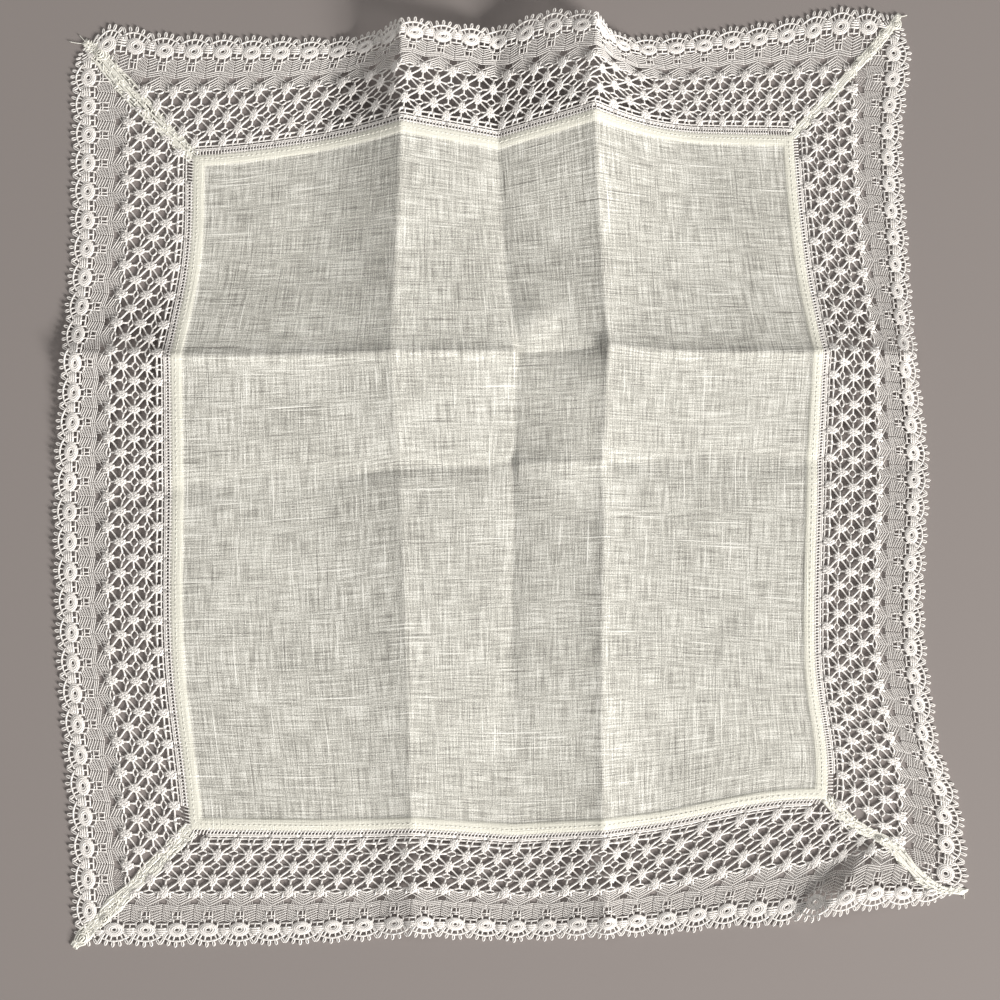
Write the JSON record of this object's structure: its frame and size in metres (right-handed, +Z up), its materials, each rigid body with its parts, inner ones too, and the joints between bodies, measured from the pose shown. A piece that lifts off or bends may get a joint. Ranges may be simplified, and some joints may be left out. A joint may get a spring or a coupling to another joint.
{
  "type": "lace handkerchief",
  "caption": "Square hemmed linen handkerchief with a wide mitred lace border, laid flat on a table with soft creases from its old folds.",
  "frame": {"origin": "centre of the cloth's box, on the table that it lies on", "axes": "+Z up from the table, +Y towards the edge that stands up in two ridges, +X to the right of it"},
  "size_m": [0.3053, 0.3217, 0.0137],
  "materials": {
    "linen_cloth": "plain weave linen with slubs, matt",
    "lace_thread": "white cotton thread lace, matt",
    "seam_thread": "close whip stitches in cream thread, matt"
  },
  "bodies": {
    "root": {"linen_panel": "linen_cloth", "lace_north": "lace_thread", "lace_east": "lace_thread", "lace_south": "lace_thread", "lace_west": "lace_thread", "mitre_nw": "seam_thread", "mitre_ne": "seam_thread", "mitre_se": "seam_thread", "mitre_sw": "seam_thread"}
  },
  "joints": []
}
